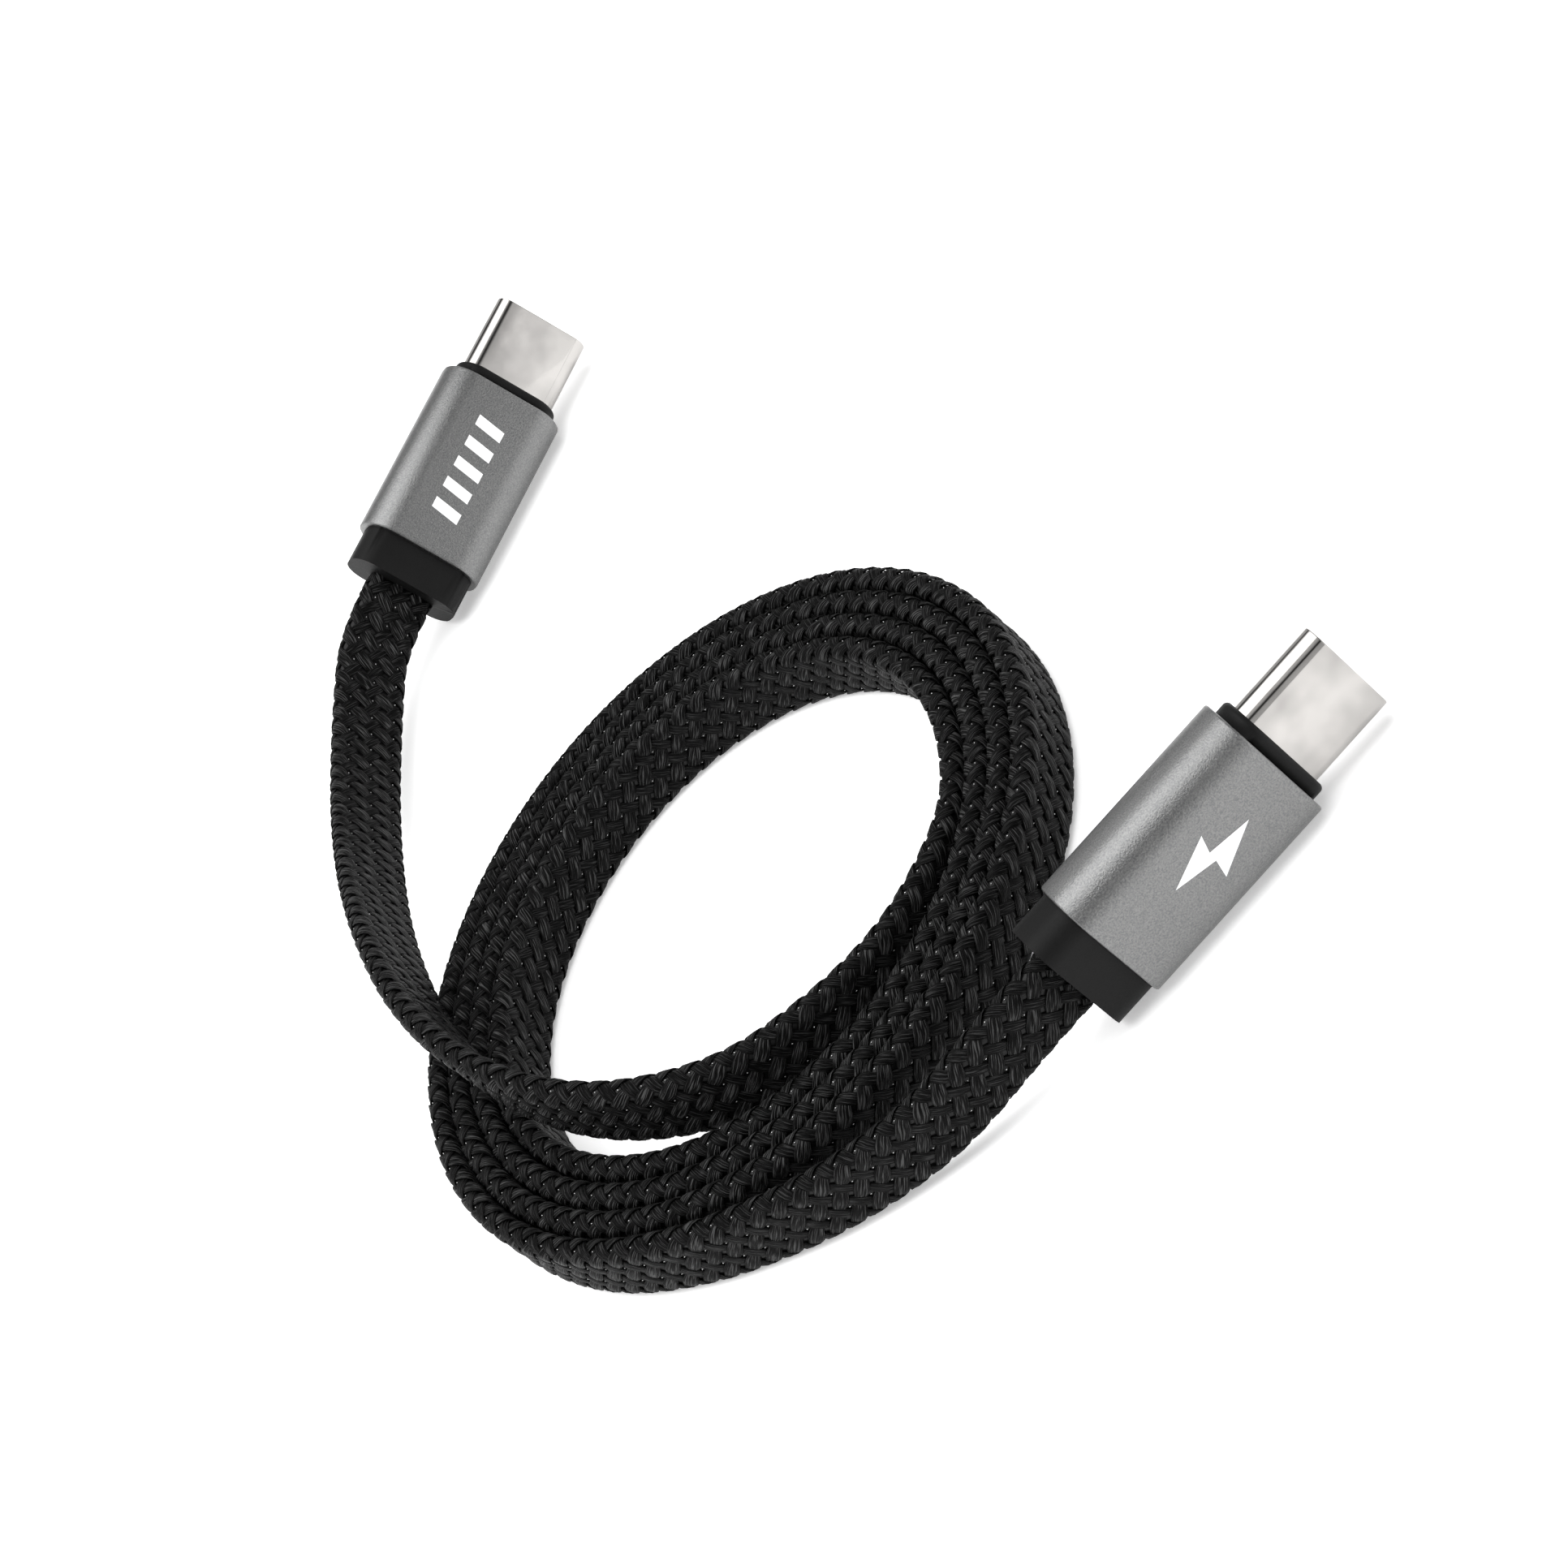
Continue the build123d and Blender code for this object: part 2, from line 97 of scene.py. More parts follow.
STRANDS_EACH_WAY = 7
BRAID_STEP = 1.80          # along the ribbon from one row of holes to the next
STRAND_WIDTH = 0.90
STRAND_DEPTH = 0.19
STRAND_GIRTH = 2.5         # round a strand, for its UV map
STRAND_WIDTH_STEP = 0.07   # added to a strand going right, taken off one going left
STRANDS_PER_PIECE = 4
STRAND_INSET = 0.17        # from the ribbon's surface in to the strands' middle line
CROSSING_RISE = 0.075      # how far a strand rises and dips at a crossing
CROSSING_OFFSET = 0.02     # strands going right lie this much higher, the others this much lower
STRAND_SECTION = [(-1, 0), (-0.72, 0.72), (-0.26, 1.0), (0.26, 1.0), (0.72, 0.72), (1, 0),
                  (0.5, -0.8), (-0.5, -0.8)]
OUTLINE_CORNER = 0.7       # of the outline that strands and beads are placed on
OUTLINE_STEPS = 480
BEAD_INSET = 0.18
BEAD_HALF = (0.085, 0.045, 0.045)   # along the ribbon, across it and outwards
JACKET_HALF_DEPTH = 0.69
JACKET_HALF_WIDTH = 2.71
JACKET_CORNER = 0.60


# ---- nodes for finishes --------------------------------------------------------------------------

def new_finish(name):
    finish = bpy.data.materials.new(name)
    finish.use_nodes = True
    return finish, finish.node_tree, finish.node_tree.nodes["Principled BSDF"]


def link(tree, out_node, out_name, in_node, in_name):
    tree.links.new(out_node.outputs[out_name], in_node.inputs[in_name])


def object_pattern(tree):
    place = tree.nodes.new("ShaderNodeTexCoord")
    mapping = tree.nodes.new("ShaderNodeMapping")
    link(tree, place, "Object", mapping, "Vector")
    return mapping


def noise(tree, mapping, scale, detail=2.0, rough=0.5):
    texture = tree.nodes.new("ShaderNodeTexNoise")
    texture.inputs["Scale"].default_value = scale
    texture.inputs["Detail"].default_value = detail
    texture.inputs["Roughness"].default_value = rough
    link(tree, mapping, "Vector", texture, "Vector")
    return texture


def ramp(tree, source, socket, stops):
    node = tree.nodes.new("ShaderNodeValToRGB")
    elements = node.color_ramp.elements
    while len(elements) < len(stops):
        elements.new(0.5)
    for element, (place, colour) in zip(elements, stops):
        element.position = place
        element.color = (*colour, 1)
    link(tree, source, socket, node, "Fac")
    return node


def bump(tree, source, socket, strength, distance, shader):
    node = tree.nodes.new("ShaderNodeBump")
    node.inputs["Strength"].default_value = strength
    node.inputs["Distance"].default_value = distance
    link(tree, source, socket, node, "Height")
    link(tree, node, "Normal", shader, "Normal")


def grey(value, tint=(1, 1, 1)):
    return tuple(value * t for t in tint)


def surface_finish(name, dark, light, metallic, roughness, grain, depth, speckled=False):
    """A finish with fine grain in its relief, colour and gloss."""
    finish, tree, shader = new_finish(name)
    pattern = object_pattern(tree)
    fine = noise(tree, pattern, grain, 3.0, 0.6)
    tone = fine if speckled else noise(tree, pattern, 260.0, 2.0)
    tones = ramp(tree, tone, "Fac", [(0.35, dark), (0.65, light)])
    link(tree, tones, "Color", shader, "Base Color")
    gloss = tree.nodes.new("ShaderNodeMapRange")
    gloss.inputs["To Min"].default_value = roughness[0]
    gloss.inputs["To Max"].default_value = roughness[1]
    link(tree, fine, "Fac", gloss, "Value")
    link(tree, gloss, "Result", shader, "Roughness")
    shader.inputs["Metallic"].default_value = metallic
    shader.inputs["Specular IOR Level"].default_value = 0.5 if metallic else 0.16
    bump(tree, fine, "Fac", 0.5, depth, shader)
    return finish


def mottled_finish(name, scale, detail, stops, metallic, roughness):
    """A finish whose only pattern is in its colour."""
    finish, tree, shader = new_finish(name)
    texture = noise(tree, object_pattern(tree), scale, detail)
    tones = ramp(tree, texture, "Fac", stops)
    link(tree, tones, "Color", shader, "Base Color")
    shader.inputs["Metallic"].default_value = metallic
    shader.inputs["Roughness"].default_value = roughness
    return finish


def yarn_finish(name, tone):
    """Black filament yarn: fine filaments along the strand in relief, with painted highlight
    streaks on some filaments and painted shade between them.
    """
    finish, tree, shader = new_finish(name)
    uv = tree.nodes.new("ShaderNodeUVMap")
    uv.uv_map = "along_strand"
    mapping = tree.nodes.new("ShaderNodeMapping")
    mapping.inputs["Scale"].default_value = (0.7, 9.0, 1)
    link(tree, uv, "UV", mapping, "Vector")
    filaments = noise(tree, mapping, 1.0, 1.0, 0.5)
    # the ramp paints the filament streaks: its light stop is a painted highlight, its dark stops
    # painted shade between filaments
    tones = ramp(tree, filaments, "Fac", [(0.38, grey(0.0010 * tone)), (0.52, grey(0.006 * tone)),
                                          (0.63, grey(0.085 * tone))])
    link(tree, tones, "Color", shader, "Base Color")
    shader.inputs["Roughness"].default_value = 0.5
    shader.inputs["Specular IOR Level"].default_value = 0.06
    bump(tree, filaments, "Fac", 1.0, 0.00022, shader)
    return finish


# ---- the cable's line ----------------------------------------------------------------------------

def coil_point(turns):
    """A point of the coil, this many turns in from its outer end."""
    degrees = COIL_START_ANGLE - 360 * turns
    away = abs((degrees - LOOSE_ANGLE + 180) % 360 - 180)
    loose = 0.5 + 0.5 * math.cos(math.pi * min(away / LOOSE_SPREAD, 1))
    radius = (COIL_START_RADIUS - COIL_PITCH * turns - LOOSE_GAP * loose * turns) / SPLINE_CUT
    angle = math.radians(degrees)
    return (COIL_CENTRE[0] + radius * math.cos(angle), COIL_CENTRE[1] + radius * math.sin(angle),
            RIBBON_WIDTH / 2)


def plug_axes(plug):
    """A plug's own directions: along to the tip, across its width, and through its thickness."""
    turn = math.radians(plug["yaw"])
    tilt = math.radians(plug["roll"])
    along = Vector((math.cos(turn), math.sin(turn), 0))
    across = Vector((math.sin(turn) * math.sin(tilt), -math.cos(turn) * math.sin(tilt),
                     math.cos(tilt)))
    return along, across, across.cross(along)


def collar_face(plug):
    return Vector(plug["origin"]) - plug_axes(plug)[0] * PLUG_REAR


def lead_points(route, plug):
    """From the coil outwards to the collar."""
    points = [(COIL_CENTRE[0] + x, COIL_CENTRE[1] + y, RIBBON_WIDTH / 2 + rise * RIM_LIFT)
              for x, y, rise in route]
    face = collar_face(plug)
    return points + [tuple(face - plug_axes(plug)[0] * EXIT_RUN), tuple(face)]


def cable_route():
    """From plug A's collar to the inside of the coil, round and outwards, to plug B's collar."""
    steps = int(COIL_TURNS * POINTS_PER_TURN)
    layers = [coil_point(i / POINTS_PER_TURN) for i in range(steps, -1, -1)]
    return lead_points(LEAD_A_ROUTE, PLUG_A)[::-1] + layers + lead_points(LEAD_B_ROUTE, PLUG_B)


def laid_line(name, points):
    """The smooth line that the cable lies along, as evenly spaced points in metres."""
    line = bpy.data.curves.new(name, "CURVE")
    line.dimensions = "3D"
    line.resolution_u = 16
    spline = line.splines.new("NURBS")
    spline.points.add(len(points) - 1)
    for control, (x, y, z) in zip(spline.points, points):
        control.co = (x * MM, y * MM, z * MM, 1)
    spline.order_u = 3
    spline.use_endpoint_u = True
    holder = bpy.data.objects.new(name, line)
    bpy.context.scene.collection.objects.link(holder)
    depsgraph = bpy.context.evaluated_depsgraph_get()
    traced = bpy.data.meshes.new_from_object(holder.evaluated_get(depsgraph))
    places = np.array([vertex.co[:] for vertex in traced.vertices])
    bpy.data.objects.remove(holder)
    steps = np.linalg.norm(np.diff(places, axis=0), axis=1)
    places = places[np.concatenate([[True], steps > 1e-9])]
    along = np.concatenate([[0], np.cumsum(np.linalg.norm(np.diff(places, axis=0), axis=1))])
    even = np.linspace(0, along[-1], int(along[-1] / (LINE_SPACING * MM)) + 1)
    spaced = np.column_stack([np.interp(even, along, places[:, k]) for k in range(3)])
    return even, spaced


def unit(vectors):
    return vectors / np.linalg.norm(vectors, axis=1)[:, None]


def smooth_rows(rows, reach):
    window = np.hanning(2 * reach + 3)[1:-1]
    window /= window.sum()
    padded = np.vstack([rows[:1]] * reach + [rows] + [rows[-1:]] * reach)
    return np.column_stack([np.convolve(column, window, "valid") for column in padded.T])


def ribbon_frames(distance, places):
    """Heading, width and thickness directions of the ribbon, which stands on edge in the coil and
    leans over on its way to plug A's collar."""
    heading = unit(smooth_rows(np.gradient(places, axis=0), 4))
    upright = np.array([0.0, 0.0, 1.0])
    width = unit(upright - heading * (heading @ upright)[:, None])
    side = np.cross(heading, width)
    angle = np.radians(np.interp(distance / MM, LEAN_DISTANCES, LEAN_ANGLES))
    angle = smooth_rows(angle[:, None], 12)[:, 0]
    cos, sin = np.cos(angle)[:, None], np.sin(angle)[:, None]
    return heading, width * cos + side * sin, side * cos - width * sin


def ribbon_outline(half_depth, half_width, corner, count):
    """Points and outward directions evenly round a rounded rectangle, in metres."""
    corners = [(1, 1, 0), (-1, 1, 90), (-1, -1, 180), (1, -1, 270)]
    points, normals = [], []
    for sx, sy, start in corners:
        cx, cy = sx * (half_depth - corner), sy * (half_width - corner)
        for angle in np.radians(np.linspace(start, start + 90, 13)):
            normals.append((math.cos(angle), math.sin(angle)))
            points.append((cx + corner * math.cos(angle), cy + corner * math.sin(angle)))
    points.append(points[0])
    normals.append(normals[0])
    points, normals = np.array(points), np.array(normals)
    along = np.concatenate([[0], np.cumsum(np.linalg.norm(np.diff(points, axis=0), axis=1))])
    even = np.linspace(0, along[-1], count, endpoint=False)
    return along[-1], [np.interp(even, along, values)
                       for values in (points[:, 0], points[:, 1], normals[:, 0], normals[:, 1])]


# ---- meshes that follow the line -----------------------------------------------------------------

def tube_mesh(name, rings, lengths, girth):
    """Closed tubes from rings of points, each given as (rings, points, 3), with their own UV map:
    along the strand and round it, in millimetres."""
    vertices, faces, uvs = [], [], []
    base = 0
    for tube, length in zip(rings, lengths):
        count, around = tube.shape[:2]
        vertices.append(tube.reshape(-1, 3))
        ring = np.arange(count - 1)[:, None] * around
        spot = np.arange(around)[None, :]
        following = (spot + 1) % around
        quads = np.stack([ring + spot, ring + following, ring + around + following,
                          ring + around + spot], axis=-1).reshape(-1, 4) + base
        faces.append(quads)
        low = np.broadcast_to(length[:-1, None], (count - 1, around))
        high = np.broadcast_to(length[1:, None], (count - 1, around))
        left = np.broadcast_to(spot * girth / around, (count - 1, around))
        right = left + girth / around
        uvs.append(np.stack([low, left, low, right, high, right, high, left],
                            axis=-1).reshape(-1, 2))
        half = np.arange(around // 2 - 1)
        lid = np.stack([half, half + 1, around - 2 - half, around - 1 - half], axis=-1) + base
        faces += [lid[:, ::-1], lid + (count - 1) * around]
        uvs.append(np.zeros((8 * len(half), 2)))
        base += count * around
    vertices, faces, uvs = np.vstack(vertices), np.vstack(faces), np.vstack(uvs)
    mesh = bpy.data.meshes.new(name)
    mesh.vertices.add(len(vertices))
    mesh.vertices.foreach_set("co", vertices.ravel())
    mesh.loops.add(faces.size)
    mesh.loops.foreach_set("vertex_index", faces.ravel())
    mesh.polygons.add(len(faces))
    mesh.polygons.foreach_set("loop_start", np.arange(0, faces.size, 4))
    layer = mesh.uv_layers.new(name="along_strand")
    layer.uv.foreach_set("vector", uvs.ravel())
    mesh.update(calc_edges=True)
    mesh.validate()
    mesh.shade_smooth()
    piece = bpy.data.objects.new(name, mesh)
    bpy.context.scene.collection.objects.link(piece)
    return piece


def at(distance, wanted, rows):
    return np.column_stack([np.interp(wanted, distance, rows[:, k]) for k in range(3)])


def braid_outline(inset):
    _, outline = ribbon_outline((RIBBON_THICKNESS / 2 - inset) * MM,
                                (RIBBON_WIDTH / 2 - inset) * MM, OUTLINE_CORNER * MM,
                                OUTLINE_STEPS)
    return outline


def strand_tube(distance, places, frames, way, number, outline, lead):
    """One braid strand, running round the ribbon one way and over and under the others."""
    _, width, side = frames
    row = lead / (2 * STRANDS_EACH_WAY)
    s = np.linspace(0, distance[-1], int(distance[-1] / row * 3.4))
    wave = np.cos(math.pi * s / row)
    rise = way * (CROSSING_RISE * wave * (1.3 - 0.3 * wave * wave) + CROSSING_OFFSET) * MM
    wander = (0.03 * np.sin(s / (3.1 * MM) + 2.4 * number + way)
              + 0.02 * np.sin(s / (1.3 * MM) + 5 * number))
    turn = (number / STRANDS_EACH_WAY + way * s / lead) % 1.0
    size = len(outline[0])
    spots = (turn * size + wander * 2.0) % size
    low = np.floor(spots).astype(int) % size
    share = spots - np.floor(spots)
    x, y, nx, ny = [values[low] * (1 - share) + values[(low + 1) % size] * share
                    for values in outline]
    x, y = (x + nx * rise)[:, None], (y + ny * rise)[:, None]
    side_s, width_s = at(distance, s, side), at(distance, s, width)
    centre = at(distance, s, places) + side_s * x + width_s * y
    outward = unit(side_s * nx[:, None] + width_s * ny[:, None])
    run = unit(np.gradient(centre, axis=0))
    outward = unit(outward - run * np.sum(outward * run, axis=1)[:, None])
    across = np.cross(run, outward)
    half, deep = (STRAND_WIDTH + STRAND_WIDTH_STEP * way) / 2 * MM, STRAND_DEPTH / 2 * MM
    spread = (1 + 0.16 * way * wave)[:, None]
    rings = np.stack([centre + across * (a * half * spread) + outward * (b * deep)
                      for a, b in STRAND_SECTION], axis=1)
    run_up = np.cumsum(np.linalg.norm(np.diff(centre, axis=0), axis=1))
    return rings, np.concatenate([[0], run_up]) / MM + 7.3 * number


def ribbon_core(distance, places, frames, finish):
    """The jacket inside the braid, one flat tube from collar to collar."""
    _, width, side = frames
    _, (x, y, _, _) = ribbon_outline(JACKET_HALF_DEPTH * MM, JACKET_HALF_WIDTH * MM,
                                     JACKET_CORNER * MM, 24)
    s = np.linspace(0, distance[-1], 900)
    centre = at(distance, s, places)
    side_s, width_s = at(distance, s, side), at(distance, s, width)
    rings = (centre[:, None] + side_s[:, None] * x[None, :, None]
             + width_s[:, None] * y[None, :, None])
    core = tube_mesh("cable_jacket", [rings[:, ::-1]], [s / MM], 10.0)
    core.data.materials.append(finish)
    return core, centre


def braid(distance, places, frames, finishes):
    """All the strands, in groups that each make one piece."""
    outline = braid_outline(STRAND_INSET)
    lead = STRANDS_EACH_WAY * BRAID_STEP * MM
    pieces = []
    for way, word in ((1, "right"), (-1, "left")):
        for group in range(0, STRANDS_EACH_WAY, STRANDS_PER_PIECE):
            numbers = range(group, min(group + STRANDS_PER_PIECE, STRANDS_EACH_WAY))
            tubes = [strand_tube(distance, places, frames, way, n, outline, lead)
                     for n in numbers]
            piece = tube_mesh(f"braid_{word}_{group // STRANDS_PER_PIECE + 1}",
                              [t[0] for t in tubes], [t[1] for t in tubes], STRAND_GIRTH)
            # strands going right get the yarn painted lighter as if lit, those going left the yarn
            # painted darker as if shaded
            piece.data.materials.append(finishes[0 if way > 0 else 1])
            pieces.append(piece)
    return pieces


def gloss_beads(distance, places, frames, finish):
    """Small glossy beads, one to a hole, coloured near white as painted glints in the braid's
    holes.
    """
    heading, width, side = frames
    outline = braid_outline(BEAD_INSET)
    lead = STRANDS_EACH_WAY * BRAID_STEP * MM
    rows = np.arange(1, int(distance[-1] / (BRAID_STEP * MM)))
    s = np.repeat(rows * BRAID_STEP * MM, STRANDS_EACH_WAY)
    number = np.tile(np.arange(STRANDS_EACH_WAY), len(rows))
    share = ((number + 0.5) / STRANDS_EACH_WAY + s / lead) % 1.0
    spot = (share * OUTLINE_STEPS).astype(int) % OUTLINE_STEPS
    x, y, nx, ny = [values[spot][:, None] for values in outline]
    side_s, width_s = at(distance, s, side), at(distance, s, width)
    run = at(distance, s, heading)
    centre = at(distance, s, places) + side_s * x + width_s * y
    outward = unit(side_s * nx + width_s * ny)
    across = np.cross(run, outward)
    tip = [(1, 0, 0), (-1, 0, 0), (0, 1, 0), (0, -1, 0), (0, 0, 1), (0, 0, -1)]
    size = np.array(BEAD_HALF) * MM
    points = np.stack([centre + run * (a * size[0]) + across * (b * size[1])
                       + outward * (c * size[2]) for a, b, c in tip], axis=1)
    faces = np.array([(0, 2, 4), (2, 1, 4), (1, 3, 4), (3, 0, 4), (2, 0, 5), (1, 2, 5), (3, 1, 5),
                      (0, 3, 5)])
    if np.dot(np.cross(points[0, 2] - points[0, 0], points[0, 4] - points[0, 0]),
              points[0].mean(axis=0) - points[0, 0]) > 0:
        faces = faces[:, ::-1]
    faces = (faces[None] + 6 * np.arange(len(points))[:, None, None]).reshape(-1, 3)
    mesh = bpy.data.meshes.new("glint_beads")
    mesh.from_pydata(points.reshape(-1, 3).tolist(), [], faces.tolist())
    mesh.shade_smooth()
    mesh.materials.append(finish)
    piece = bpy.data.objects.new("glint_beads", mesh)
    bpy.context.scene.collection.objects.link(piece)
    return piece


# ---- plug casing ---------------------------------------------------------------------------------

def smoothed_copy(node, finish):
    """A copy of a casing part with its facets joined and its curves shaded smooth."""
    bpy.ops.object.select_all(action="DESELECT")
    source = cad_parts[node]
    piece = source.copy()
    piece.data = source.data.copy()
    piece.name = f"{node}_finished"
    piece.parent = None
    for key in list(piece.keys()):
        del piece[key]
    bpy.context.scene.collection.objects.link(piece)
    bpy.context.view_layer.objects.active = piece
    piece.select_set(True)
    bpy.ops.object.mode_set(mode="EDIT")
    bpy.ops.mesh.select_all(action="SELECT")
    bpy.ops.mesh.remove_doubles(threshold=0.000002)
    bpy.ops.mesh.tris_convert_to_quads(face_threshold=0.02, shape_threshold=0.6)
    bpy.ops.object.mode_set(mode="OBJECT")
    bpy.ops.object.shade_smooth_by_angle(angle=SHARP_ANGLE)
    piece.data.materials.clear()
    piece.data.materials.append(finish)
    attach(piece, ROOT)
    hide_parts(node)


def pick(kind, wanted):
    """Select the edges or faces of the shape being edited that answer to wanted."""
    bpy.ops.mesh.select_mode(type=kind)
    bpy.ops.mesh.select_all(action="DESELECT")
    shape = bmesh.from_edit_mesh(bpy.context.object.data)
    for part in shape.edges if kind == "EDGE" else shape.faces:
        if wanted(part):
            part.select_set(True)
    bmesh.update_edit_mesh(bpy.context.object.data)


def drawn_sleeve(end, plug, finish):
    """The metal sleeve: a block, its long edges rounded, its ends eased, and bored through."""
    bpy.ops.object.select_all(action="DESELECT")
    bpy.ops.mesh.primitive_cube_add(size=1)
    piece = bpy.context.object
    piece.name = f"housing_sleeve_{end}_finished"
    bpy.ops.object.mode_set(mode="EDIT")
    bpy.ops.mesh.select_all(action="SELECT")
    bpy.ops.transform.resize(value=(SLEEVE_LENGTH * MM, SLEEVE_DEPTH * MM, SLEEVE_WIDTH * MM))
    pick("EDGE", lambda edge: abs((edge.verts[0].co - edge.verts[1].co).x) > MM)
    bpy.ops.mesh.bevel(offset=SLEEVE_CORNER * MM, segments=16, affect="EDGES")
    pick("EDGE", lambda edge: abs((edge.verts[0].co - edge.verts[1].co).x) < 0.01 * MM)
    bpy.ops.mesh.bevel(offset=SLEEVE_EDGE * MM, segments=3, affect="EDGES")
    pick("FACE", lambda face: abs(face.normal.x) > 0.99)
    bpy.ops.mesh.inset(thickness=(SLEEVE_WALL - SLEEVE_EDGE) * MM, use_individual=True)
    bpy.ops.mesh.delete(type="ONLY_FACE")
    pick("EDGE", lambda edge: edge.is_boundary)
    bpy.ops.mesh.bridge_edge_loops()
    bpy.ops.object.mode_set(mode="OBJECT")
    along, across, through = plug_axes(plug)
    place = Matrix([along, through, across]).transposed().to_4x4()
    place.translation = plug_point(plug, -SLEEVE_LENGTH / 2, 0, 0)
    piece.data.transform(place)
    bpy.ops.object.mode_set(mode="EDIT")
    bpy.ops.mesh.select_all(action="SELECT")
    bpy.ops.mesh.normals_make_consistent(inside=False)
    bpy.ops.object.mode_set(mode="OBJECT")
    bpy.ops.object.shade_smooth_by_angle(angle=SHARP_ANGLE)
    piece.data.materials.append(finish)
    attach(piece, ROOT)
    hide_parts(f"housing_sleeve_{end}")


# ---- plug marks ----------------------------------------------------------------------------------

def plug_point(plug, x, y, z):
    along, across, through = plug_axes(plug)
    return (Vector(plug["origin"]) + along * x + through * y + across * z) * MM


def etched_mark(name, plug, outlines, finish):
    """Thin raised shapes on the flat side of the sleeve, one to each outline."""
    face = -(SLEEVE_DEPTH / 2 + MARK_LIFT)
    points, faces = [], []
    for outline in outlines:
        faces.append(list(range(len(points), len(points) + len(outline))))
        points += [tuple(plug_point(plug, x, face, z)) for x, z in outline]
    mesh = bpy.data.meshes.new(name)
    mesh.from_pydata(points, [], faces)
    mesh.materials.append(finish)
    piece = bpy.data.objects.new(name, mesh)
    bpy.context.scene.collection.objects.link(piece)
    bpy.ops.object.select_all(action="DESELECT")
    bpy.context.view_layer.objects.active = piece
    piece.select_set(True)
    out = -plug_axes(plug)[2] * MARK_HEIGHT * MM
    bpy.ops.object.mode_set(mode="EDIT")
    bpy.ops.mesh.select_all(action="SELECT")
    bpy.ops.mesh.extrude_region_move(TRANSFORM_OT_translate={"value": tuple(out)})
    bpy.ops.mesh.select_all(action="SELECT")
    bpy.ops.mesh.normals_make_consistent(inside=False)
    bpy.ops.object.mode_set(mode="OBJECT")
    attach(piece, ROOT)


def etched_marks(finish):
    bars = [[(start + x, z) for x, z in BAR_OUTLINE] for start in BAR_STARTS]
    etched_mark("charge_bars", PLUG_A, bars, finish)
    etched_mark("charge_bolt", PLUG_B, [BOLT_OUTLINE], finish)


# ---- table, light and camera ---------------------------------------------------------------------

def table_top():
    bpy.ops.object.select_all(action="DESELECT")
    bpy.ops.mesh.primitive_plane_add(size=4.0, location=(0, 0, -0.00002))
    top = bpy.context.object
    top.name = "table_top"
    finish, _, shader = new_finish("table_white")
    shader.inputs["Base Color"].default_value = (0.93, 0.93, 0.93, 1)
    shader.inputs["Roughness"].default_value = 0.9
    shader.inputs["Specular IOR Level"].default_value = 0.1
    shader.inputs["Emission Color"].default_value = (1, 1, 1, 1)
    shader.inputs["Emission Strength"].default_value = 0.35
    top.data.materials.append(finish)


def panel_light(name, place, aim, size, watts):
    lamp = bpy.data.lights.new(name, "AREA")
    lamp.shape = "RECTANGLE"
    lamp.size, lamp.size_y = size
    lamp.energy = watts
    holder = bpy.data.objects.new(name, lamp)
    bpy.context.scene.collection.objects.link(holder)
    holder.location = place
    holder.rotation_euler = (Vector(aim) - Vector(place)).to_track_quat("-Z", "Y").to_euler()


def studio():
    world = bpy.data.worlds.new("studio")
    bpy.context.scene.world = world
    world.use_nodes = True
    tree = world.node_tree
    background = tree.nodes["Background"]
    place = tree.nodes.new("ShaderNodeTexCoord")
    split = tree.nodes.new("ShaderNodeSeparateXYZ")
    link(tree, place, "Generated", split, "Vector")
    sky = ramp(tree, split, "Z", [(0.0, grey(0.8)), (0.45, grey(0.7)), (0.55, grey(0.04)),
                                  (0.68, grey(0.06)), (0.80, grey(0.85)), (1.0, grey(1.0))])
    link(tree, sky, "Color", background, "Color")
    panel_light("side_panel", (-0.5, 0.05, 0.42), (0, 0, 0), (0.5, 0.9), 2.0)
    panel_light("front_panel", (0.42, -0.62, 0.16), (0, 0, 0.01), (0.6, 0.34), 0.5)
    panel_light("top_panel", (0.0, 0.05, 0.8), (0, 0, 0), (1.0, 1.0), 7.5)
    bpy.context.scene.view_settings.view_transform = "Standard"


def camera():
    lens = bpy.data.cameras.new("view")
    lens.lens = 100
    lens.sensor_width = 36
    lens.clip_start = 0.01
    holder = bpy.data.objects.new("view", lens)
    bpy.context.scene.collection.objects.link(holder)
    forward = Vector((0, 0.8209, -0.5711)).normalized()
    up = Vector((0.7786, 0.3584, 0.5151)).normalized()
    right = forward.cross(up).normalized()
    up = right.cross(forward)
    turn = np.array([right, up, -forward]).T
    holder.matrix_world = Matrix([[*turn[0], 0.0045], [*turn[1], -0.26595], [*turn[2], 0.1799],
                                  [0, 0, 0, 1]])
    bpy.context.scene.camera = holder


# ---- build ---------------------------------------------------------------------------------------

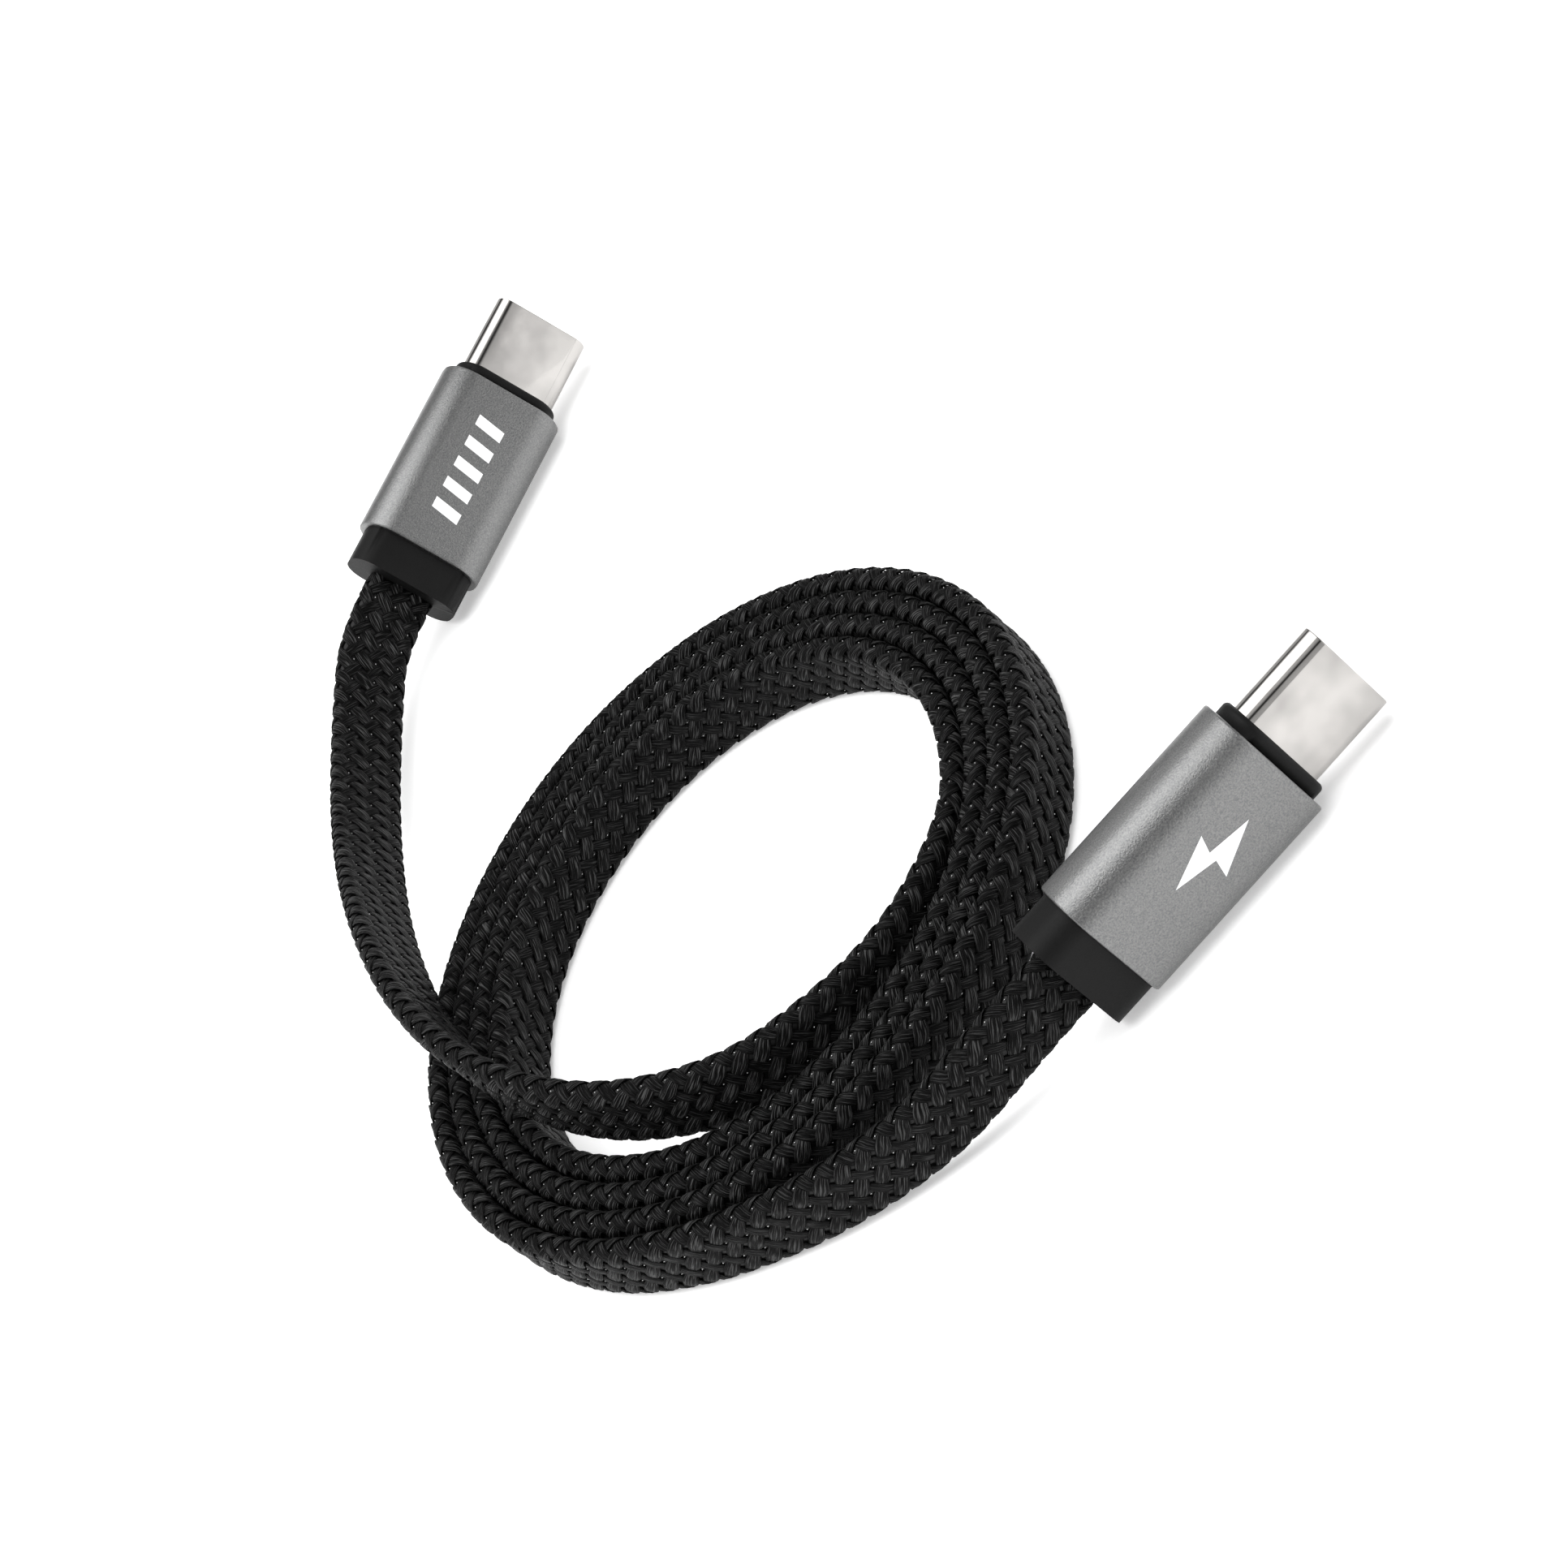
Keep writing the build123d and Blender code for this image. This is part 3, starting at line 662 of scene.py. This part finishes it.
# Name, darkest and lightest tone, metallic, least and most roughness, grain size and relief.
PLUG_FINISHES = {
    "housing_sleeve": ("blasted_aluminium", grey(0.145, (0.985, 1.0, 1.015)),
                       grey(0.225, (1.0, 1.0, 0.985)), 1.0, (0.33, 0.43), 8500, 0.00007, True),
    "nose_cap": ("black_cap", grey(0.0022), grey(0.0034), 0.0, (0.5, 0.65), 7000, 0.00002),
    "plug_shell": ("polished_nickel", (0.33, 0.32, 0.31), (0.47, 0.455, 0.44), 1.0, (0.08, 0.16),
                   2500, 0.000001),
    "insulator": ("tongue_plastic", grey(0.02), grey(0.03), 0.0, (0.4, 0.5), 5000, 0.000004),
    "contacts_upper": ("contact_gold", (0.8, 0.55, 0.2), (0.9, 0.65, 0.28), 1.0, (0.15, 0.25),
                       6000, 0.000001),
    "latch_left": ("spring_steel", grey(0.55), grey(0.65), 1.0, (0.2, 0.35), 5000, 0.000002),
    "circuit_board": ("solder_mask", (0.01, 0.1, 0.04), (0.015, 0.14, 0.06), 0.0, (0.25, 0.35),
                      4000, 0.000002),
    "marker_chip": ("chip_resin", grey(0.02), grey(0.03), 0.0, (0.5, 0.6), 6000, 0.000003),
    "capacitors": ("capacitor_body", (0.4, 0.28, 0.16), (0.5, 0.36, 0.22), 0.0, (0.3, 0.4), 5000,
                   0.000002),
    "shield_can": ("tin_plate", grey(0.6), grey(0.7), 1.0, (0.25, 0.35), 4000, 0.000002),
    "conductors": ("wire_jacket", grey(0.4), grey(0.5), 0.0, (0.4, 0.5), 5000, 0.000003)}
SAME_FINISH = {"rear_collar": "nose_cap", "contacts_lower": "contacts_upper",
               "latch_right": "latch_left", "ground_spring_upper": "latch_left",
               "ground_spring_lower": "latch_left", "crimp_ring": "shield_can"}


def dress_plugs():
    finishes = {part: surface_finish(*values) for part, values in PLUG_FINISHES.items()}
    for node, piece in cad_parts.items():
        part, end = node[:-2], node[-1]
        finish = finishes.get(SAME_FINISH.get(part, part))
        if part == "housing_sleeve":
            drawn_sleeve(end, PLUGS[end], finish)
        elif part in CASING_SLOTS:
            smoothed_copy(node, finish)
        elif finish:
            piece.data.materials.clear()
            piece.data.materials.append(finish)
    etched_marks(mottled_finish("etched_white", 5000.0, 2.0, [(0.3, grey(0.9)), (0.7, grey(0.98))],
                                0.0, 0.6))


def lay_cable():
    distance, places = laid_line("cable_line", cable_route())
    frames = ribbon_frames(distance, places)
    jacket = surface_finish("jacket_black", grey(0.004), grey(0.007), 0.0, (0.25, 0.4), 3000,
                            0.00001)
    core, path = ribbon_core(distance, places, frames, jacket)
    # one black yarn in two painted tones: strands going right painted lighter as if lit, strands
    # going left painted darker as if shaded
    yarns = [yarn_finish("yarn_painted_lit", 0.7), yarn_finish("yarn_painted_shaded", 0.35)]
    strands = braid(distance, places, frames, yarns)
    # near-white glossy beads in the braid's holes: a painted glint, with some rendered gloss of
    # their own
    glint = mottled_finish("painted_glint_white", 900.0, 1.0, [(0.35, grey(0.5)), (0.65, grey(1.0))],
                           0.6, 0.2)
    strands.append(gloss_beads(distance, places, frames, glint))
    for piece in [core, *strands]:
        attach(piece, ROOT)
        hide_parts("cable_coil", "cable_lead_a", "cable_lead_b")


camera()
dress_plugs()
lay_cable()
table_top()
studio()
